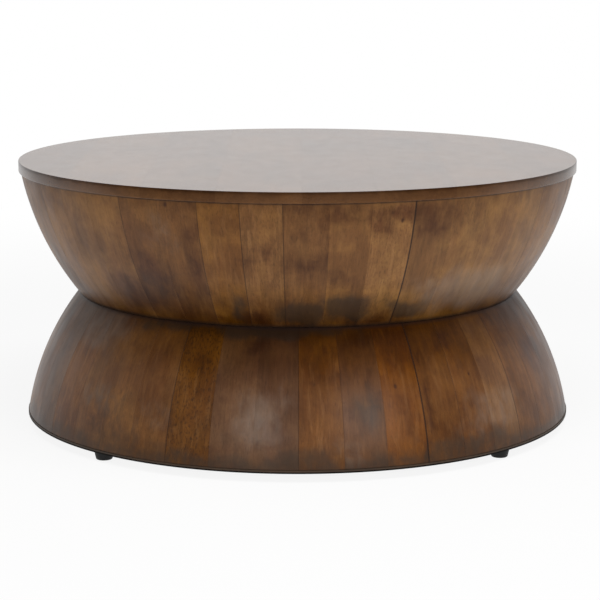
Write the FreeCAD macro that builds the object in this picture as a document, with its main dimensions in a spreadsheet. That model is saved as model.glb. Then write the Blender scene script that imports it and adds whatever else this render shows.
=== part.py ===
import FreeCAD, Part
import collections
import math
import os

import Sketcher

# Drum table: two bowls of coopered staves, joined at their narrow ends, under a round board top.
# Millimetres. The origin is on the floor under the middle of the table, with +Z up and -Y to the front.

SIZES = [
    # The two bowls, measured outside
    ("mouth_dia", 907.0),
    ("waist_dia", 722.0),
    ("waist_step", 1.0),
    ("hem_dia", 898.0),
    ("upper_height", 199.5),
    ("lower_height", 197.0),
    ("upper_bulge", 13.5),
    ("lower_bulge", 14.0),
    # Thickness of a stave at its ends
    ("stave_wall", 24.0),
    # The round top, of boards glued edge to edge, which stands out past the bowl's mouth
    ("top_overhang", 3.5),
    ("top_thick", 17.0),
    ("top_arris", 1.5),
    # The plywood rings inside, and the gap at their bevelled edges
    ("rim_ring_thick", 18.0),
    ("rim_ring_width", 68.0),
    ("waist_ring_thick", 15.0),
    ("waist_ring_width", 97.0),
    ("edge_gap", 0.2),
    # The base panel, whose edge shows under the lower bowl
    ("base_thick", 5.0),
    ("base_lip", 1.0),
    # The cleats across the boards, under the top
    ("cleat_width", 45.0),
    ("cleat_thick", 20.0),
    ("cleat_bevel", 12.0),
    ("cleat_reach", 150.0),
    ("cleat_gap", 17.5),
    ("cleat_screw_inset", 30.0),
    # Countersunk wood screws, and the cross recess in every screw's head
    ("screw_dia", 4.5),
    ("screw_head_dia", 9.0),
    ("screw_bite", 11.0),
    ("base_screw_bite", 14.0),
    ("screw_play", 0.1),
    ("drive_span", 4.2),
    ("drive_slot", 1.2),
    ("drive_depth", 1.8),
    ("ring_screw_inset", 36.0),
    # The bolts that join the bowls at the waist
    ("bolt_dia", 8.0),
    ("bolt_flats", 13.0),
    ("bolt_head", 5.3),
    ("bolt_nut", 6.5),
    ("bolt_tail", 3.0),
    ("bolt_inset", 48.0),
    ("bolt_play", 0.4),
    ("thread_play", 0.05),
    ("washer_dia", 16.0),
    ("washer_thick", 1.6),
    # The feet: tapered bumpers, each held by a screw and a washer in its recess
    ("foot_height", 13.5),
    ("foot_top_dia", 31.0),
    ("foot_floor_dia", 25.0),
    ("foot_round", 1.5),
    ("foot_inset", 3.5),
    ("recess_dia", 14.0),
    ("recess_depth", 7.0),
    ("foot_screw_dia", 4.0),
    ("foot_screw_head_dia", 8.0),
    ("foot_screw_head", 2.4),
    ("foot_screw_bite", 9.0),
    ("foot_washer_dia", 12.0),
    ("foot_washer_thick", 1.0),
    # How far a cut runs past the face that it leaves
    ("cut_over", 2.0),
]

# How many there are of what repeats
UPPER_STAVE_COUNT = 42
LOWER_STAVE_COUNT = 42
BOLTS = 6
TOP_SCREWS = 8
BASE_SCREWS = 8
CLEAT_SCREWS = 6
# The bowls' staves are kept in bundles of neighbours, at most this many bundles to a bowl.
BUNDLES = 14

# Widths of the staves, as shares of their mean width, from the seam nearest the front towards +X.
# Each list covers half a bowl and is used twice.
UPPER_WIDTH_SHARES = (
    1.01, 0.93, 0.99, 1.02, 0.97, 0.93, 1.05,
    0.99, 1.04, 1.06, 1.02, 1.07, 1.03, 1.03,
    1.03, 0.96, 1.01, 1.00, 0.96, 0.96, 0.94,
)
LOWER_WIDTH_SHARES = (
    1.03, 0.99, 0.99, 0.99, 0.93, 0.97, 0.98,
    1.00, 1.04, 0.98, 1.03, 1.01, 1.04, 0.98,
    1.07, 0.98, 0.91, 0.98, 1.06, 1.02, 1.01,
)
# Widths of the top's boards, as shares of their mean width, from -X to +X.
BOARD_WIDTH_SHARES = (0.92, 1.06, 0.98, 1.10, 0.94, 1.04, 1.00, 0.96)

# Angles in degrees. From the +X axis to the front of the table:
FRONT = -90.0
# From the front to the seam where each bowl's list of widths starts, positive towards +X
UPPER_FIRST_SEAM = -2.7
LOWER_FIRST_SEAM = 0.2
# From the front to the first screw of the top
TOP_SCREW_ANGLE = 22.5
# The feet, by name and by angle from the front
FOOT_ANGLES = (
    ("foot_front_right", 46.4),
    ("foot_back_right", 136.4),
    ("foot_back_left", -133.6),
    ("foot_front_left", -43.6),
)
# From the +X axis to the foot, and the screw beside it, from which the base is drilled
BASE_TURN = FRONT + FOOT_ANGLES[0][1]

doc = FreeCAD.newDocument("drum_table")
sheet = doc.addObject("Spreadsheet::Sheet", "Sizes")
for row, (alias, value) in enumerate(SIZES, start=1):
    sheet.set(f"A{row}", alias)
    sheet.set(f"B{row}", str(value))
    sheet.setAlias(f"B{row}", alias)
doc.recompute()

# Levels above the floor
BASE_LOW = "Sizes.foot_height"
BASE_TOP = f"({BASE_LOW} + Sizes.base_thick)"
WAIST = f"({BASE_TOP} + Sizes.lower_height)"
RIM = f"({WAIST} + Sizes.upper_height)"
TOP = f"({RIM} + Sizes.top_thick)"

# Each bowl: its two ends as (level, radius outside), and its staves
UPPER = {
    "name": "upper",
    "low": (WAIST, "Sizes.waist_dia / 2"),
    "high": (RIM, "Sizes.mouth_dia / 2"),
    "staves": UPPER_STAVE_COUNT,
    "first_seam": UPPER_FIRST_SEAM,
    "shares": UPPER_WIDTH_SHARES,
}
LOWER = {
    "name": "lower",
    "low": (BASE_TOP, "Sizes.hem_dia / 2"),
    "high": (WAIST, "(Sizes.waist_dia / 2 - Sizes.waist_step)"),
    "staves": LOWER_STAVE_COUNT,
    "first_seam": LOWER_FIRST_SEAM,
    "shares": LOWER_WIDTH_SHARES,
}

nodes = []


def measure(expression):
    """Value of an expression of the sheet's sizes."""
    return sheet.evalExpression(expression)


def keep(part, label):
    """Give a finished sub-part the name that its file takes."""
    part.Label = label
    nodes.append(part)


def new_sketch(body, name, role, level=None):
    """Sketch on one of the body's origin planes, raised to a level where one is given."""
    sketch = body.newObject("Sketcher::SketchObject", name)
    plane = next(item for item in body.Origin.OriginFeatures if item.Role == role)
    sketch.AttachmentSupport = [(plane, "")]
    sketch.MapMode = "FlatFace"
    if level:
        sketch.setExpression("AttachmentOffset.Base.z", level)
    return sketch


def pin(sketch, item, end, place):
    """Tie a point of the sketch to a place given by two expressions, measured from its origin."""
    for kind, axis, expression in (("DistanceX", -2, place[0]), ("DistanceY", -1, place[1])):
        value = measure(expression)
        if value == 0:
            sketch.addConstraint(Sketcher.Constraint("PointOnObject", item, end, axis))
        elif value > 0:
            index = sketch.addConstraint(Sketcher.Constraint(kind, -1, 1, item, end, value))
            sketch.setExpression(f"Constraints[{index}]", expression)
        else:
            index = sketch.addConstraint(Sketcher.Constraint(kind, item, end, -1, 1, -value))
            sketch.setExpression(f"Constraints[{index}]", f"-({expression})")


def draw_arc(sketch, start, finish, radius):
    """Arc between two points, bowed to the right of the way from start to finish."""
    chord = finish - start
    rise = math.sqrt(radius**2 - chord.Length**2 / 4)
    left = FreeCAD.Vector(-chord.y, chord.x, 0).normalize()
    centre = (start + finish) / 2 + left * rise
    circle = Part.Circle(centre, FreeCAD.Vector(0, 0, 1), radius)
    first = math.atan2(start.y - centre.y, start.x - centre.x)
    last = math.atan2(finish.y - centre.y, finish.x - centre.x)
    return sketch.addGeometry(Part.ArcOfCircle(circle, first, last))


def draw_outline(sketch, corners):
    """Closed outline through corners, each (x, y) or (x, y, radius of an arc to the next one)."""
    points = [FreeCAD.Vector(measure(corner[0]), measure(corner[1]), 0) for corner in corners]
    count = len(corners)
    items = []
    for index, corner in enumerate(corners):
        start, finish = points[index], points[(index + 1) % count]
        if len(corner) == 3:
            items.append(draw_arc(sketch, start, finish, measure(corner[2])))
        else:
            items.append(sketch.addGeometry(Part.LineSegment(start, finish)))
    for index, corner in enumerate(corners):
        sketch.addConstraint(Sketcher.Constraint("Coincident", items[index - 1], 2, items[index], 1))
        pin(sketch, items[index], 1, corner[:2])
        if len(corner) == 3:
            radius = sketch.addConstraint(
                Sketcher.Constraint("Radius", items[index], measure(corner[2])))
            sketch.setExpression(f"Constraints[{radius}]", corner[2])


def draw_circle(sketch, centre, diameter):
    """Circle of a diameter at a place, both given by expressions."""
    place = FreeCAD.Vector(measure(centre[0]), measure(centre[1]), 0)
    circle = Part.Circle(place, FreeCAD.Vector(0, 0, 1), measure(diameter) / 2)
    item = sketch.addGeometry(circle)
    pin(sketch, item, 3, centre)
    index = sketch.addConstraint(Sketcher.Constraint("Diameter", item, measure(diameter)))
    sketch.setExpression(f"Constraints[{index}]", diameter)


def new_body(name, turn=0.0):
    """Body turned about the table's upright axis."""
    body = doc.addObject("PartDesign::Body", name)
    body.Placement.Rotation = FreeCAD.Rotation(FreeCAD.Vector(0, 0, 1), turn)
    return body


def spin(body, kind, name, corners, axis="0"):
    """Revolution or Groove of an outline in the body's XZ plane, about an upright line at x = axis."""
    sketch = new_sketch(body, f"{name}_outline", "XZ_Plane")
    draw_outline(sketch, corners)
    feature = body.newObject(f"PartDesign::{kind}", name)
    feature.Profile = (sketch, [""])
    if axis == "0":
        feature.ReferenceAxis = (sketch, ["V_Axis"])
    else:
        foot = FreeCAD.Vector(measure(axis), 0, 0)
        line = sketch.addGeometry(Part.LineSegment(foot, FreeCAD.Vector(foot.x, foot.x, 0)), True)
        pin(sketch, line, 1, (axis, "0"))
        pin(sketch, line, 2, (axis, axis))
        feature.ReferenceAxis = (sketch, ["Axis0"])
    feature.Angle = 360
    return feature


def raise_sketch(body, kind, name, level, length):
    """Pad or Pocket that runs upwards from a level, with its empty sketch."""
    sketch = new_sketch(body, f"{name}_sketch", "XY_Plane", level)
    feature = body.newObject(f"PartDesign::{kind}", name)
    feature.Profile = (sketch, [""])
    feature.setExpression("Length", length)
    feature.Reversed = kind == "Pocket"
    return sketch, feature


def origin_axis(body, role):
    """One of the body's origin axes, as a pattern's reference."""
    return next(item for item in body.Origin.OriginFeatures if item.Role == role), [""]


def repeat_round(body, features, count):
    """The features again, evenly spaced about the table's upright axis."""
    doc.recompute()
    pattern = body.newObject("PartDesign::PolarPattern", "round")
    pattern.Originals = features
    pattern.Axis = origin_axis(body, "Z_Axis")
    pattern.Angle = 360
    pattern.Occurrences = count
    body.Tip = pattern


def inner_rad(bowl, level):
    """Distance from the table's axis to the flat inner face of a bowl's staves, at a level."""
    (low, low_rad), (high, high_rad) = bowl["low"], bowl["high"]
    return (f"({low_rad} - Sizes.stave_wall + ({high_rad} - {low_rad})"
            f" * ({level} - {low}) / ({high} - {low}))")


# Where the feet and the rings' fasteners stand, as distances from the table's axis
FOOT_RAD = ("(Sizes.hem_dia / 2 + Sizes.base_lip - Sizes.foot_inset"
            " - Sizes.foot_top_dia / 2)")
BOLT_RAD = f"({inner_rad(UPPER, WAIST)} - Sizes.bolt_inset)"
TOP_SCREW_RAD = f"({inner_rad(UPPER, RIM)} - Sizes.ring_screw_inset)"
BASE_SCREW_RAD = f"({inner_rad(LOWER, BASE_TOP)} - Sizes.ring_screw_inset)"
RIM_RING_BORE = f"({inner_rad(UPPER, RIM)} - Sizes.rim_ring_width)"
BASE_RING_BORE = f"({inner_rad(LOWER, BASE_TOP)} - Sizes.rim_ring_width)"
WAIST_RING_BORE = f"({inner_rad(UPPER, WAIST)} - Sizes.waist_ring_width)"
# Half of a cleat, which ends short of the ring under the top
CLEAT_HALF = (f"(sqrt(pow({RIM_RING_BORE}; 2)"
              " - pow(Sizes.cleat_reach + Sizes.cleat_width / 2; 2)) - Sizes.cleat_gap)")


def make_stave(bowl, name, turn, angle, pilots):
    """One stave: turned outside, flat inside, with its sides on planes through the table's axis."""
    (low, low_rad), (high, high_rad) = bowl["low"], bowl["high"]
    bulge = f"Sizes.{bowl['name']}_bulge"
    chord = f"(pow({high_rad} - {low_rad}; 2) + pow({high} - {low}; 2))"
    arc_rad = f"({chord} / (8 * {bulge}) + {bulge} / 2)"
    body = new_body(name, turn)
    blank = spin(body, "Revolution", "blank", [
        (low_rad, low, arc_rad),
        (high_rad, high),
        (f"{inner_rad(bowl, high)} - Sizes.cut_over", high),
        (f"{inner_rad(bowl, low)} - Sizes.cut_over", low),
    ])
    blank.Midplane = True
    blank.Angle = angle

    below = f"{low} - Sizes.cut_over"
    above = f"{high} + Sizes.cut_over"
    flat = new_sketch(body, "flat_outline", "XZ_Plane")
    draw_outline(flat, [
        ("0", below),
        (inner_rad(bowl, below), below),
        (inner_rad(bowl, above), above),
        ("0", above),
    ])
    inside = body.newObject("PartDesign::Pocket", "inside")
    inside.Profile = (flat, [""])
    inside.SideType = "Symmetric"
    inside.setExpression("Length", f"2 * {low_rad}")

    for pilot_turn in pilots:
        along, across = math.cos(math.radians(pilot_turn)), math.sin(math.radians(pilot_turn))
        sketch, _ = raise_sketch(body, "Pocket", "pilot", low, "Sizes.foot_screw_bite")
        draw_circle(sketch, (f"{FOOT_RAD} * {along:.12f}", f"{FOOT_RAD} * {across:.12f}"),
                    "Sizes.foot_screw_dia + 2 * Sizes.screw_play")
    return body


def make_bowl(bowl, screw_turns):
    """All the staves of a bowl, in bundles of neighbours."""
    which, count, table = bowl["name"], bowl["staves"], bowl["shares"]
    shares = [table[index % len(table)] for index in range(count)]
    angle_per_share = 360 / sum(shares)
    # A foot screw's hole may reach into the stave beside the one that it stands in.
    hole_rad = "(Sizes.foot_screw_dia / 2 + Sizes.screw_play)"
    hole_turn = math.degrees(measure(f"{hole_rad} / {FOOT_RAD}"))
    staves = []
    seam = bowl["first_seam"]
    for number, share in enumerate(shares, start=1):
        angle = share * angle_per_share
        middle = seam + angle / 2
        turns = [(turn - middle + 180) % 360 - 180 for turn in screw_turns]
        pilots = [turn for turn in turns if abs(turn) < angle / 2 + hole_turn]
        staves.append(make_stave(bowl, f"{which}_stave_{number:02d}", FRONT + middle, angle, pilots))
        seam += angle
    bundle_size = math.ceil(count / BUNDLES)
    for number, start in enumerate(range(0, count, bundle_size), start=1):
        bundle = doc.addObject("Part::Compound", f"{which}_bundle_{number:02d}")
        bundle.Links = staves[start:start + bundle_size]
        keep(bundle, f"{which}_staves_{number:02d}")


def make_ring(label, bowl, low, high, bore, turn=0.0):
    """Plywood ring whose bevelled edge lies along the flat inner faces of a bowl's staves."""
    body = new_body(label, turn)
    spin(body, "Revolution", "ring", [
        (bore, low),
        (f"{inner_rad(bowl, low)} - Sizes.edge_gap", low),
        (f"{inner_rad(bowl, high)} - Sizes.edge_gap", high),
        (bore, high),
    ])
    return body


# A family of countersunk screws, driven upwards: how far the first stands from the table's axis,
# the level of the heads, the thickness that they pass, and their length beyond it
Screws = collections.namedtuple("Screws", "axis head through bite")
TOP_SCREW = Screws(TOP_SCREW_RAD, f"({RIM} - Sizes.rim_ring_thick)",
                   "Sizes.rim_ring_thick", "Sizes.screw_bite")
BASE_SCREW = Screws(BASE_SCREW_RAD, BASE_LOW, "Sizes.base_thick", "Sizes.base_screw_bite")
CLEAT_SCREW = Screws(f"({CLEAT_HALF} - Sizes.cleat_screw_inset)",
                     f"({RIM} - Sizes.cleat_thick)", "Sizes.cleat_thick", "Sizes.screw_bite")


def screw_outline(screw, play="0"):
    """Half outline of a countersunk screw or, with play all round, of the hole that it goes in."""
    shank_rad = f"Sizes.screw_dia / 2 + {play}"
    neck = f"{screw.head} + (Sizes.screw_head_dia - Sizes.screw_dia) / 2"
    tip = f"{screw.head} + {screw.through} + {screw.bite} + {play}"
    return [
        (screw.axis, screw.head),
        (f"{screw.axis} + Sizes.screw_head_dia / 2 + {play}", screw.head),
        (f"{screw.axis} + {shank_rad}", neck),
        (f"{screw.axis} + {shank_rad}", f"{tip} - Sizes.screw_dia"),
        (screw.axis, tip),
    ]


def cut_round_of_holes(body, screw, count):
    """Holes for a round of countersunk screws, in any piece that they pass."""
    outline = screw_outline(screw, play="Sizes.screw_play")
    repeat_round(body, [spin(body, "Groove", "screw_hole", outline, screw.axis)], count)


def cut_cross(body, axis, across, level):
    """Cross recess in the head of a screw, whose head starts at a level."""
    sketch, recess = raise_sketch(body, "Pocket", "cross", level, "Sizes.drive_depth")
    arm, half = "Sizes.drive_span / 2", "Sizes.drive_slot / 2"
    draw_outline(sketch, [(f"{axis} {x}", f"{across} {y}") for x, y in (
        (f"+ {arm}", f"- {half}"), (f"+ {arm}", f"+ {half}"), (f"+ {half}", f"+ {half}"),
        (f"+ {half}", f"+ {arm}"), (f"- {half}", f"+ {arm}"), (f"- {half}", f"+ {half}"),
        (f"- {arm}", f"+ {half}"), (f"- {arm}", f"- {half}"), (f"- {half}", f"- {half}"),
        (f"- {half}", f"- {arm}"), (f"+ {half}", f"- {arm}"), (f"+ {half}", f"- {half}"),
    )])
    return recess


def repeat_along_cleat(body, features, rows):
    """The features again along a cleat and, in two rows, along the other cleat."""
    doc.recompute()
    pattern = body.newObject("PartDesign::LinearPattern", "row")
    pattern.Originals = features
    pattern.Direction = origin_axis(body, "X_Axis")
    pattern.Reversed = True
    pattern.setExpression("Length", f"2 * {CLEAT_SCREW.axis}")
    pattern.Occurrences = CLEAT_SCREWS
    if rows == 2:
        pattern.Direction2 = origin_axis(body, "Y_Axis")
        pattern.setExpression("Length2", "2 * Sizes.cleat_reach")
        pattern.Occurrences2 = rows
    body.Tip = pattern


def make_cleat_screws(name, play="0"):
    """Both cleats' screws or, with play, the space that they take."""
    body = new_body(name)
    one = spin(body, "Revolution", "screw", screw_outline(CLEAT_SCREW, play), CLEAT_SCREW.axis)
    one.Profile[0].setExpression("AttachmentOffset.Base.z", "Sizes.cleat_reach")
    features = [one]
    if play == "0":
        features.append(cut_cross(body, CLEAT_SCREW.axis, "-Sizes.cleat_reach", CLEAT_SCREW.head))
    repeat_along_cleat(body, features, 2)
    return body


def make_top():
    """The round top, cut into boards that run from front to back."""
    blank = new_body("top_blank", FRONT + TOP_SCREW_ANGLE)
    rad = "(Sizes.mouth_dia / 2 + Sizes.top_overhang)"
    arris = "Sizes.top_arris"
    spin(blank, "Revolution", "disc", [
        ("0", RIM),
        (f"{rad} - {arris}", RIM),
        (rad, f"{RIM} + {arris}"),
        (rad, f"{TOP} - {arris}"),
        (f"{rad} - {arris}", TOP),
        ("0", TOP),
    ])
    cut_round_of_holes(blank, TOP_SCREW, TOP_SCREWS)
    drilled = doc.addObject("Part::Cut", "top_drilled")
    drilled.Base = blank
    drilled.Tool = make_cleat_screws("cleat_pilots", "Sizes.screw_play")

    total = sum(BOARD_WIDTH_SHARES)
    edges = [f"-{rad} - Sizes.cut_over"]
    done = 0.0
    for share in BOARD_WIDTH_SHARES[:-1]:
        done += share
        edges.append(f"-{rad} + 2 * {rad} * {done / total:.12f}")
    edges.append(f"{rad} + Sizes.cut_over")
    for number, (left, right) in enumerate(zip(edges, edges[1:]), start=1):
        strip = doc.addObject("Part::Box", f"strip_{number}")
        strip.setExpression("Length", f"({right}) - ({left})")
        strip.setExpression("Width", f"2 * {rad} + 2 * Sizes.cut_over")
        strip.setExpression("Height", "Sizes.top_thick + 2 * Sizes.cut_over")
        strip.setExpression("Placement.Base.x", left)
        strip.setExpression("Placement.Base.y", f"-{rad} - Sizes.cut_over")
        strip.setExpression("Placement.Base.z", f"{RIM} - Sizes.cut_over")
        board = doc.addObject("Part::Common", f"board_{number}")
        board.Base = drilled
        board.Tool = strip
        keep(board, f"top_board_{number}")


def make_rings():
    """The four plywood rings: under the top, on each side of the waist, and on the base panel."""
    top_turn = FRONT + TOP_SCREW_ANGLE
    rim_low = f"({RIM} - Sizes.rim_ring_thick)"
    rim = make_ring("rim_ring", UPPER, rim_low, RIM, RIM_RING_BORE, top_turn)
    cut_round_of_holes(rim, TOP_SCREW, TOP_SCREWS)
    keep(rim, "rim_ring")

    upper_high = f"({WAIST} + Sizes.waist_ring_thick)"
    upper = make_ring("upper_waist_ring", UPPER, WAIST, upper_high, WAIST_RING_BORE)
    lower_low = f"({WAIST} - Sizes.waist_ring_thick)"
    lower = make_ring("lower_waist_ring", LOWER, lower_low, WAIST, WAIST_RING_BORE)
    for body, level in ((upper, WAIST), (lower, lower_low)):
        sketch, hole = raise_sketch(body, "Pocket", "bolt_hole", f"{level} - Sizes.cut_over",
                                    "Sizes.waist_ring_thick + 2 * Sizes.cut_over")
        draw_circle(sketch, (BOLT_RAD, "0"), "Sizes.bolt_dia + 2 * Sizes.bolt_play")
        repeat_round(body, [hole], BOLTS)
        keep(body, body.Name)

    base_high = f"({BASE_TOP} + Sizes.rim_ring_thick)"
    base = make_ring("base_ring", LOWER, BASE_TOP, base_high, BASE_RING_BORE, BASE_TURN)
    cut_round_of_holes(base, BASE_SCREW, BASE_SCREWS)
    keep(base, "base_ring")


def make_cleats():
    """Two cleats across the boards, bevelled at their ends."""
    low = f"({RIM} - Sizes.cleat_thick)"
    for label, side in (("front_cleat", -1), ("back_cleat", 1)):
        body = new_body(label)
        sketch = new_sketch(body, "side_outline", "XZ_Plane")
        draw_outline(sketch, [
            (f"Sizes.cleat_bevel - {CLEAT_HALF}", low),
            (f"{CLEAT_HALF} - Sizes.cleat_bevel", low),
            (CLEAT_HALF, RIM),
            (f"-{CLEAT_HALF}", RIM),
        ])
        bar = body.newObject("PartDesign::Pad", "bar")
        bar.Profile = (sketch, [""])
        bar.SideType = "Symmetric"
        bar.setExpression("Length", "Sizes.cleat_width")
        outline = screw_outline(CLEAT_SCREW, play="Sizes.screw_play")
        repeat_along_cleat(body, [spin(body, "Groove", "screw_hole", outline, CLEAT_SCREW.axis)], 1)
        body.setExpression("Placement.Base.y", f"{side} * Sizes.cleat_reach")
        keep(body, label)


def make_base():
    """The base panel, a thin disc that closes the lower bowl and shows as a dark lip."""
    body = new_body("base_panel", BASE_TURN)
    rad = "Sizes.hem_dia / 2 + Sizes.base_lip"
    spin(body, "Revolution", "disc", [
        ("0", BASE_LOW),
        (rad, BASE_LOW),
        (rad, BASE_TOP),
        ("0", BASE_TOP),
    ])
    cut_round_of_holes(body, BASE_SCREW, BASE_SCREWS)
    sketch, hole = raise_sketch(body, "Pocket", "foot_hole", f"{BASE_LOW} - Sizes.cut_over",
                                "Sizes.base_thick + 2 * Sizes.cut_over")
    draw_circle(sketch, (FOOT_RAD, "0"), "Sizes.foot_screw_dia + 2 * Sizes.screw_play")
    repeat_round(body, [hole], len(FOOT_ANGLES))
    keep(body, "base_panel")


def make_screws():
    """The countersunk screws: into the top, the base and the cleats."""
    for label, screw, turn, count in (
            ("top_screws", TOP_SCREW, FRONT + TOP_SCREW_ANGLE, TOP_SCREWS),
            ("base_screws", BASE_SCREW, BASE_TURN, BASE_SCREWS)):
        body = new_body(label, turn)
        one = spin(body, "Revolution", "screw", screw_outline(screw), screw.axis)
        repeat_round(body, [one, cut_cross(body, screw.axis, "0", screw.head)], count)
        keep(body, label)
    keep(make_cleat_screws("cleat_screws"), "cleat_screws")


def washer_outline(axis, low, outer_dia, bore_dia, thick):
    """Half outline of a washer about an upright line."""
    return [
        (f"{axis} + ({bore_dia}) / 2", low),
        (f"{axis} + {outer_dia} / 2", low),
        (f"{axis} + {outer_dia} / 2", f"{low} + {thick}"),
        (f"{axis} + ({bore_dia}) / 2", f"{low} + {thick}"),
    ]


def hexagon(axis):
    """Corners of a bolt's hexagon about a place on the X axis."""
    corners = []
    for step in range(6):
        along, across = math.cos(math.pi * step / 3), math.sin(math.pi * step / 3)
        reach = "Sizes.bolt_flats / sqrt(3)"
        across_text = f"{reach} * {across:.12f}" if step % 3 else "0"
        corners.append((f"{axis} + {reach} * {along:.12f}", across_text))
    return corners


def make_bolts():
    """Bolts, washers and nuts through the two waist rings, with the heads below."""
    axis = BOLT_RAD
    lower_washer = f"({WAIST} - Sizes.waist_ring_thick - Sizes.washer_thick)"
    upper_washer = f"({WAIST} + Sizes.waist_ring_thick)"
    nut_low = f"({upper_washer} + Sizes.washer_thick)"
    shank = f"{nut_low} - {lower_washer} + Sizes.bolt_nut + Sizes.bolt_tail"

    bolts = new_body("waist_bolts")
    sketch, head = raise_sketch(bolts, "Pad", "head", f"{lower_washer} - Sizes.bolt_head",
                                "Sizes.bolt_head")
    draw_outline(sketch, hexagon(axis))
    sketch, stem = raise_sketch(bolts, "Pad", "stem", lower_washer, shank)
    draw_circle(sketch, (axis, "0"), "Sizes.bolt_dia")
    repeat_round(bolts, [head, stem], BOLTS)
    keep(bolts, "waist_bolts")

    washers = new_body("waist_washers")
    rounds = [spin(washers, "Revolution", name,
                   washer_outline(axis, low, "Sizes.washer_dia",
                                  "Sizes.bolt_dia + 2 * Sizes.thread_play",
                                  "Sizes.washer_thick"), axis)
              for name, low in (("lower", lower_washer), ("upper", upper_washer))]
    repeat_round(washers, rounds, BOLTS)
    keep(washers, "waist_washers")

    nuts = new_body("waist_nuts")
    sketch, block = raise_sketch(nuts, "Pad", "block", nut_low, "Sizes.bolt_nut")
    draw_outline(sketch, hexagon(axis))
    draw_circle(sketch, (axis, "0"), "Sizes.bolt_dia + 2 * Sizes.thread_play")
    repeat_round(nuts, [block], BOLTS)
    keep(nuts, "waist_nuts")


def make_feet():
    """Four tapered feet, each with a recess in which a washer and a screw head sit."""
    axis = FOOT_RAD
    hole_dia = "Sizes.foot_screw_dia + 2 * Sizes.screw_play"
    floor_rad = "Sizes.foot_floor_dia / 2"
    draft = "atan((Sizes.foot_top_dia - Sizes.foot_floor_dia) / 2 / Sizes.foot_height)"
    for label, turn in FOOT_ANGLES:
        body = new_body(label, FRONT + turn)
        spin(body, "Revolution", "bumper", [
            (f"{axis} + Sizes.recess_dia / 2", "0"),
            (f"{axis} + {floor_rad} - Sizes.foot_round", "0",
             f"Sizes.foot_round * tan(45 deg + {draft} / 2)"),
            (f"{axis} + {floor_rad} + Sizes.foot_round * sin({draft})",
             f"Sizes.foot_round * cos({draft})"),
            (f"{axis} + Sizes.foot_top_dia / 2", BASE_LOW),
            (f"{axis} + ({hole_dia}) / 2", BASE_LOW),
            (f"{axis} + ({hole_dia}) / 2", "Sizes.recess_depth"),
            (f"{axis} + Sizes.recess_dia / 2", "Sizes.recess_depth"),
        ], axis)
        keep(body, label)

    washer_low = "(Sizes.recess_depth - Sizes.foot_washer_thick)"
    washers = new_body("foot_washers", BASE_TURN)
    one = spin(washers, "Revolution", "washer",
               washer_outline(axis, washer_low, "Sizes.foot_washer_dia", hole_dia,
                              "Sizes.foot_washer_thick"), axis)
    repeat_round(washers, [one], len(FOOT_ANGLES))
    keep(washers, "foot_washers")

    screws = new_body("foot_screws", BASE_TURN)
    shank_rad = "Sizes.foot_screw_dia / 2"
    head = f"{washer_low} - Sizes.foot_screw_head"
    tip = f"{BASE_TOP} + Sizes.foot_screw_bite - Sizes.screw_play"
    one = spin(screws, "Revolution", "screw", [
        (axis, head),
        (f"{axis} + Sizes.foot_screw_head_dia / 2", head),
        (f"{axis} + Sizes.foot_screw_head_dia / 2", washer_low),
        (f"{axis} + {shank_rad}", washer_low),
        (f"{axis} + {shank_rad}", f"{tip} - {shank_rad}"),
        (axis, tip),
    ], axis)
    repeat_round(screws, [one, cut_cross(screws, axis, "0", head)], len(FOOT_ANGLES))
    keep(screws, "foot_screws")


def check():
    """Stop if anything in the document failed, or a cut took nothing away."""
    for item in doc.Objects:
        if "Invalid" in item.State or "Error" in item.State:
            raise RuntimeError(f"{item.Label} failed: {item.State}")
        if item.TypeId in ("PartDesign::Pocket", "PartDesign::Groove"):
            if item.Shape.Volume >= item.BaseFeature.Shape.Volume:
                raise RuntimeError(f"{item.Label} cuts nothing")
    for part in nodes:
        if part.Shape.isNull() or not part.Shape.isValid():
            raise RuntimeError(f"{part.Label} has no valid shape")
        if not part.Shape.Solids:
            raise RuntimeError(f"{part.Label} holds no solid")


make_top()
make_rings()
make_bowl(UPPER, [])
make_bowl(LOWER, [turn for _, turn in FOOT_ANGLES])
make_cleats()
make_base()
make_bolts()
make_screws()
make_feet()
doc.recompute()
check()

os.makedirs("parts", exist_ok=True)
for part in nodes:
    part.Shape.exportStep(f"parts/{part.Label}.step")
    print(f"{part.Label}: {len(part.Shape.Solids)} solids, {part.Shape.Volume / 1000:.1f} cm3")
print(f"{len(nodes)} nodes, {sum(len(part.Shape.Solids) for part in nodes)} solids")
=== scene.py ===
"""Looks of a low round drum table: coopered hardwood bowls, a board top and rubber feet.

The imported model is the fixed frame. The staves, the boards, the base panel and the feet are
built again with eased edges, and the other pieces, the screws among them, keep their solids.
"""

import logging
import math
import random
from dataclasses import dataclass
from enum import Enum
from typing import Any, Iterable, Sequence

import bmesh
import bpy
from bmesh.types import BMEdge, BMesh, BMVert
from bpy.types import Material, Node, NodeSocket, NodeTree, Object
from mathutils import Matrix, Vector, noise

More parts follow.
